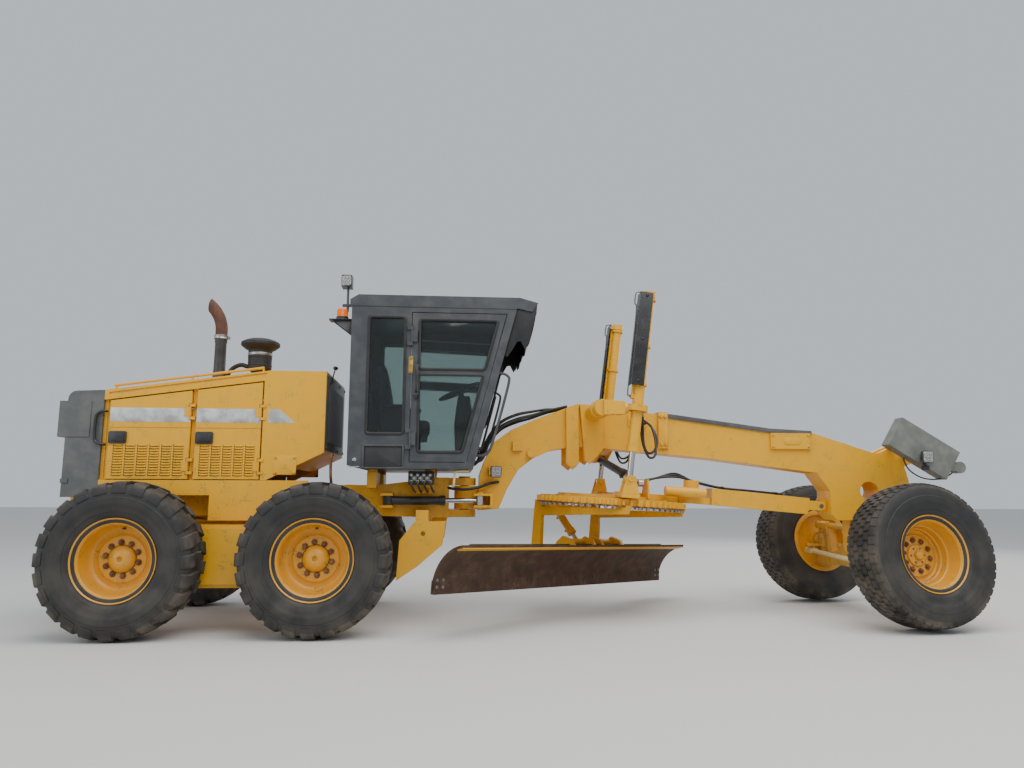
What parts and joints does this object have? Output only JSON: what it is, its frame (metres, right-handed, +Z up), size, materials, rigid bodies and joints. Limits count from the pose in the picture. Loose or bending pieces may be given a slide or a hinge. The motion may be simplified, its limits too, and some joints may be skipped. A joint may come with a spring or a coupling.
{
  "type": "articulated motor grader",
  "caption": "Full-size articulated motor grader: leaning steered front wheels, tandem rear wheels, swinging drawbar, turning circle and tilting blade",
  "frame": {"origin": "on the ground below the middle of the machine's overall box", "axes": "+X forward, +Y to the machine's left, +Z up"},
  "size_m": [8.94, 2.8354, 3.3802],
  "materials": {
    "frame_yellow": "weathered",
    "axle_yellow": "weathered",
    "rim_yellow": "scuffed",
    "cab_grey": "satin",
    "shroud_grey": "satin",
    "slab_grey": "weathered",
    "rubber": "worn",
    "glass": "clear",
    "cab_trim": "matte",
    "engine_iron": "oily",
    "exhaust_rust": "rusty",
    "blade_steel": "rusty",
    "black_steel": "satin",
    "rod_chrome": "polished",
    "pin_steel": "oiled",
    "tie_rod_cream": "weathered"
  },
  "bodies": {
    "rear": {"rear_frame": "frame_yellow", "tandem": "frame_yellow", "hood": "frame_yellow", "shroud": "shroud_grey", "engine": "engine_iron", "exhaust": "exhaust_rust", "cab_shell": "cab_grey", "cab_glass": "glass", "cab_inside": "cab_trim"},
    "cab_door_right": {"cab_door_right": "cab_grey"},
    "cab_door_left": {"cab_door_left": "cab_grey"},
    "hood_door_right_rear": {"hood_door_right_rear": "frame_yellow"},
    "hood_door_right_front": {"hood_door_right_front": "frame_yellow"},
    "hood_door_left_rear": {"hood_door_left_rear": "frame_yellow"},
    "hood_door_left_front": {"hood_door_left_front": "frame_yellow"},
    "wheel_right_rear": {"rim_right_rear": "rim_yellow", "tyre_right_rear": "rubber"},
    "wheel_right_mid": {"rim_right_mid": "rim_yellow", "tyre_right_mid": "rubber"},
    "wheel_right_front": {"rim_right_front": "rim_yellow", "tyre_right_front": "rubber"},
    "wheel_left_rear": {"rim_left_rear": "rim_yellow", "tyre_left_rear": "rubber"},
    "wheel_left_mid": {"rim_left_mid": "rim_yellow", "tyre_left_mid": "rubber"},
    "wheel_left_front": {"rim_left_front": "rim_yellow", "tyre_left_front": "rubber"},
    "front": {"front_frame": "frame_yellow", "front_axle": "axle_yellow", "front_slab": "slab_grey"},
    "yoke_right": {"yoke_right": "axle_yellow"},
    "yoke_left": {"yoke_left": "axle_yellow"},
    "knuckle_right": {"knuckle_right": "axle_yellow"},
    "knuckle_left": {"knuckle_left": "axle_yellow"},
    "lean_bar": {"lean_bar": "axle_yellow"},
    "tie_rod": {"tie_rod": "tie_rod_cream"},
    "tie_rod_end": {"tie_rod_end": "pin_steel"},
    "steer_barrel_right": {"steer_barrel_right": "frame_yellow"},
    "steer_barrel_left": {"steer_barrel_left": "frame_yellow"},
    "steer_rod_right": {"steer_rod_right": "rod_chrome"},
    "steer_rod_left": {"steer_rod_left": "rod_chrome"},
    "hinge_barrel_right": {"hinge_barrel_right": "black_steel"},
    "hinge_barrel_left": {"hinge_barrel_left": "black_steel"},
    "hinge_rod_right": {"hinge_rod_right": "rod_chrome"},
    "hinge_rod_left": {"hinge_rod_left": "rod_chrome"},
    "drawbar_ball": {"drawbar_ball": "pin_steel"},
    "drawbar": {"drawbar": "frame_yellow"},
    "circle": {"circle": "frame_yellow"},
    "blade_bracket": {"blade_bracket": "frame_yellow"},
    "blade": {"blade": "blade_steel"},
    "lift_ring_right": {"lift_ring_right": "frame_yellow"},
    "lift_ring_left": {"lift_ring_left": "frame_yellow"},
    "lift_barrel_right": {"lift_barrel_right": "frame_yellow"},
    "lift_barrel_left": {"lift_barrel_left": "frame_yellow"},
    "lift_rod_right": {"lift_rod_right": "rod_chrome"},
    "lift_rod_left": {"lift_rod_left": "rod_chrome"},
    "swing_barrel": {"swing_barrel": "black_steel"},
    "swing_rod": {"swing_rod": "rod_chrome"},
    "pitch_barrel": {"pitch_barrel": "black_steel"},
    "pitch_rod": {"pitch_rod": "rod_chrome"}
  },
  "joints": [
    {"name": "articulation", "type": "hinge", "parent": "rear", "child": "front", "pos_m": [-0.64, 0, 1.2], "axis": [0, 0, 1], "range_deg": [-18, 20]},
    {"name": "hinge_turn_right", "type": "hinge", "parent": "rear", "child": "hinge_barrel_right", "pos_m": [-1.39, -0.47, 1.18], "axis": [0, 0, 1], "range_deg": [-1.89, 2.1]},
    {"name": "hinge_slide_right", "type": "slide", "parent": "hinge_barrel_right", "child": "hinge_rod_right", "axis": [0.9881, 0.1537, 0], "range_m": [-0.10776, 0.11973]},
    {"name": "hinge_turn_left", "type": "hinge", "parent": "rear", "child": "hinge_barrel_left", "pos_m": [-1.39, 0.47, 1.18], "axis": [0, 0, 1], "range_deg": [-1.7, 1.88]},
    {"name": "hinge_slide_left", "type": "slide", "parent": "hinge_barrel_left", "child": "hinge_rod_left", "axis": [0.9881, -0.1537, 0], "range_m": [-0.12079, 0.10872]},
    {"name": "hood_door_right_rear_hinge", "type": "hinge", "parent": "rear", "child": "hood_door_right_rear", "pos_m": [-3.272, -0.603, 1.8], "axis": [0, 0, 1], "range_deg": [0, 100]},
    {"name": "hood_door_left_rear_hinge", "type": "hinge", "parent": "rear", "child": "hood_door_left_rear", "pos_m": [-3.272, 0.603, 1.8], "axis": [0, 0, 1], "range_deg": [-100, 0]},
    {"name": "hood_door_right_front_hinge", "type": "hinge", "parent": "rear", "child": "hood_door_right_front", "pos_m": [-2.612, -0.603, 1.8], "axis": [0, 0, 1], "range_deg": [0, 100]},
    {"name": "hood_door_left_front_hinge", "type": "hinge", "parent": "rear", "child": "hood_door_left_front", "pos_m": [-2.612, 0.603, 1.8], "axis": [0, 0, 1], "range_deg": [-100, 0]},
    {"name": "cab_door_right_hinge", "type": "hinge", "parent": "rear", "child": "cab_door_right", "pos_m": [-1.174, -0.764, 2.2], "axis": [0, 0, 1], "range_deg": [-105, 0]},
    {"name": "cab_door_left_hinge", "type": "hinge", "parent": "rear", "child": "cab_door_left", "pos_m": [-1.174, 0.764, 2.2], "axis": [0, 0, 1], "range_deg": [0, 105]},
    {"name": "wheel_right_rear_spin", "type": "hinge", "parent": "rear", "child": "wheel_right_rear", "pos_m": [-3.619, -1.03, 0.675], "axis": [0, 1, 0], "continuous": true},
    {"name": "wheel_right_mid_spin", "type": "hinge", "parent": "rear", "child": "wheel_right_mid", "pos_m": [-1.961, -1.03, 0.675], "axis": [0, 1, 0], "continuous": true},
    {"name": "wheel_left_rear_spin", "type": "hinge", "parent": "rear", "child": "wheel_left_rear", "pos_m": [-3.619, 1.03, 0.675], "axis": [0, 1, 0], "continuous": true},
    {"name": "wheel_left_mid_spin", "type": "hinge", "parent": "rear", "child": "wheel_left_mid", "pos_m": [-1.961, 1.03, 0.675], "axis": [0, 1, 0], "continuous": true},
    {"name": "lean_right", "type": "hinge", "parent": "front", "child": "yoke_right", "pos_m": [3.64, -0.79067, 0.45108], "axis": [1, 0, 0], "range_deg": [-10, 26]},
    {"name": "lean_left", "type": "hinge", "parent": "front", "child": "yoke_left", "pos_m": [3.64, 0.80805, 0.5151], "axis": [1, 0, 0], "range_deg": [-10, 26]},
    {"name": "lean_bar_pin", "type": "hinge", "parent": "yoke_right", "child": "lean_bar", "pos_m": [3.64, -0.73709, 0.83233], "axis": [1, 0, 0], "range_deg": [-26, 10]},
    {"name": "steer_right", "type": "hinge", "parent": "yoke_right", "child": "knuckle_right", "pos_m": [3.64, -0.79067, 0.45108], "axis": [0, 0.1392, 0.9903], "range_deg": [-44, 28]},
    {"name": "steer_left", "type": "hinge", "parent": "yoke_left", "child": "knuckle_left", "pos_m": [3.64, 0.80805, 0.5151], "axis": [0, 0.1392, 0.9903], "range_deg": [-44, 28]},
    {"name": "tie_rod_end_pin", "type": "hinge", "parent": "knuckle_right", "child": "tie_rod_end", "pos_m": [3.437, -0.8064, 0.54417], "axis": [0, 0.1392, 0.9903], "range_deg": [-28, 44]},
    {"name": "tie_rod_pin", "type": "hinge", "parent": "tie_rod_end", "child": "tie_rod", "pos_m": [3.437, -0.8064, 0.54417], "axis": [1, 0, 0], "range_deg": [-26, 10]},
    {"name": "steer_turn_right", "type": "hinge", "parent": "front", "child": "steer_barrel_right", "pos_m": [3.82, -0.22353, 0.53384], "axis": [0, -0.04, 0.9992], "range_deg": [-0.2028, 0.1327]},
    {"name": "steer_slide_right", "type": "slide", "parent": "steer_barrel_right", "child": "steer_rod_right", "axis": [-0.0033, -0.9987, -0.0502], "range_m": [-0.08158, 0.12819]},
    {"name": "steer_turn_left", "type": "hinge", "parent": "front", "child": "steer_barrel_left", "pos_m": [3.82, 0.2361, 0.55224], "axis": [0, -0.04, 0.9992], "range_deg": [-0.52, 0.82]},
    {"name": "steer_slide_left", "type": "slide", "parent": "steer_barrel_left", "child": "steer_rod_left", "axis": [-0.0029, 0.9995, 0.031], "range_m": [-0.1298, 0.0826]},
    {"name": "wheel_right_front_spin", "type": "hinge", "parent": "knuckle_right", "child": "wheel_right_front", "pos_m": [3.67201, -0.98769, 0.68578], "axis": [-0.1392, 0.9806, -0.1378], "continuous": true},
    {"name": "wheel_left_front_spin", "type": "hinge", "parent": "knuckle_left", "child": "wheel_left_front", "pos_m": [3.60799, 1.06212, 0.68641], "axis": [-0.1392, 0.9806, -0.1378], "continuous": true},
    {"name": "drawbar_swing", "type": "hinge", "parent": "front", "child": "drawbar_ball", "pos_m": [3.17, 0, 1.13], "axis": [0, 0, 1], "range_deg": [-6, 6]},
    {"name": "drawbar_lift", "type": "hinge", "parent": "drawbar_ball", "child": "drawbar", "pos_m": [3.17, 0, 1.13], "axis": [0, 1, 0], "range_deg": [-8, 1.5]},
    {"name": "circle_turn", "type": "hinge", "parent": "drawbar", "child": "circle", "pos_m": [0.9039, 0, 1.16841], "axis": [0.061, 0, 0.9981], "range_deg": [-10, 280]},
    {"name": "blade_pitch", "type": "hinge", "parent": "circle", "child": "blade_bracket", "pos_m": [0.54314, 0.33642, 0.40902], "axis": [0.73, 0.682, -0.0446], "range_deg": [-43, 2]},
    {"name": "blade_shift", "type": "slide", "parent": "blade_bracket", "child": "blade", "axis": [0.73, 0.682, -0.0446], "range_m": [-0.33, 0.87]},
    {"name": "lift_ring_pin_right", "type": "hinge", "parent": "front", "child": "lift_ring_right", "pos_m": [1.03, -0.75, 2.08], "axis": [1, 0, 0], "range_deg": [-19.75, 19.75]},
    {"name": "lift_turn_right", "type": "hinge", "parent": "lift_ring_right", "child": "lift_barrel_right", "pos_m": [1.03, -0.75, 2.08], "axis": [0, 1, 0], "range_deg": [-1.26, 0.24]},
    {"name": "lift_slide_right", "type": "slide", "parent": "lift_barrel_right", "child": "lift_rod_right", "axis": [-0.1293, 0, -0.9916], "range_m": [-0.05861, 0.31257]},
    {"name": "lift_ring_pin_left", "type": "hinge", "parent": "front", "child": "lift_ring_left", "pos_m": [1.03, 0.75, 2.08], "axis": [1, 0, 0], "range_deg": [-19.75, 19.75]},
    {"name": "lift_turn_left", "type": "hinge", "parent": "lift_ring_left", "child": "lift_barrel_left", "pos_m": [1.03, 0.75, 2.08], "axis": [0, 1, 0], "range_deg": [-1.26, 0.24]},
    {"name": "lift_slide_left", "type": "slide", "parent": "lift_barrel_left", "child": "lift_rod_left", "axis": [-0.1293, 0, -0.9916], "range_m": [-0.05861, 0.31257]},
    {"name": "swing_turn", "type": "hinge", "parent": "front", "child": "swing_barrel", "pos_m": [0.87, 0.43, 1.64], "axis": [0.9662, 0.2577, 0], "range_deg": [-3.93, 3.93]},
    {"name": "swing_slide", "type": "slide", "parent": "swing_barrel", "child": "swing_rod", "axis": [0.2468, -0.9253, -0.2879], "range_m": [-0.21085, 0.21085]},
    {"name": "pitch_turn", "type": "hinge", "parent": "circle", "child": "pitch_barrel", "pos_m": [0.40924, 0.52292, 1.06843], "axis": [0.73, 0.682, -0.0446], "range_deg": [-0.78, 16.52]},
    {"name": "pitch_slide", "type": "slide", "parent": "pitch_barrel", "child": "pitch_rod", "axis": [0.4281, -0.5072, -0.748], "range_m": [-0.15001, 0.00699]}
  ],
  "couplings": [
    {"joint": "hinge_turn_right", "follows": "articulation", "ratio": 0.1046},
    {"joint": "hinge_slide_right", "follows": "articulation", "m_per_rad": 0.34296},
    {"joint": "hinge_turn_left", "follows": "articulation", "ratio": 0.093715},
    {"joint": "hinge_slide_left", "follows": "articulation", "m_per_rad": -0.34602},
    {"joint": "lean_left", "follows": "lean_right", "ratio": 1},
    {"joint": "lean_bar_pin", "follows": "lean_right", "ratio": -1},
    {"joint": "steer_left", "follows": "steer_right", "ratio": 1},
    {"joint": "tie_rod_end_pin", "follows": "steer_right", "ratio": -1},
    {"joint": "tie_rod_pin", "follows": "lean_right", "ratio": -1},
    {"joint": "steer_turn_right", "follows": "steer_right", "ratio": 0.004381},
    {"joint": "steer_slide_right", "follows": "steer_right", "m_per_rad": -0.16691},
    {"joint": "steer_turn_left", "follows": "steer_right", "ratio": -0.018321},
    {"joint": "steer_slide_left", "follows": "steer_right", "m_per_rad": 0.169},
    {"joint": "lift_ring_pin_right", "follows": "drawbar_swing", "ratio": -3.2907},
    {"joint": "lift_turn_right", "follows": "drawbar_lift", "ratio": 0.1565},
    {"joint": "lift_slide_right", "follows": "drawbar_lift", "m_per_rad": -2.2385},
    {"joint": "lift_ring_pin_left", "follows": "drawbar_swing", "ratio": -3.2907},
    {"joint": "lift_turn_left", "follows": "drawbar_lift", "ratio": 0.1565},
    {"joint": "lift_slide_left", "follows": "drawbar_lift", "m_per_rad": -2.2385},
    {"joint": "swing_turn", "follows": "drawbar_swing", "ratio": -0.65309},
    {"joint": "swing_slide", "follows": "drawbar_swing", "m_per_rad": 2.0133},
    {"joint": "pitch_turn", "follows": "blade_pitch", "ratio": -0.38389},
    {"joint": "pitch_slide", "follows": "blade_pitch", "m_per_rad": 0.19987}
  ]
}
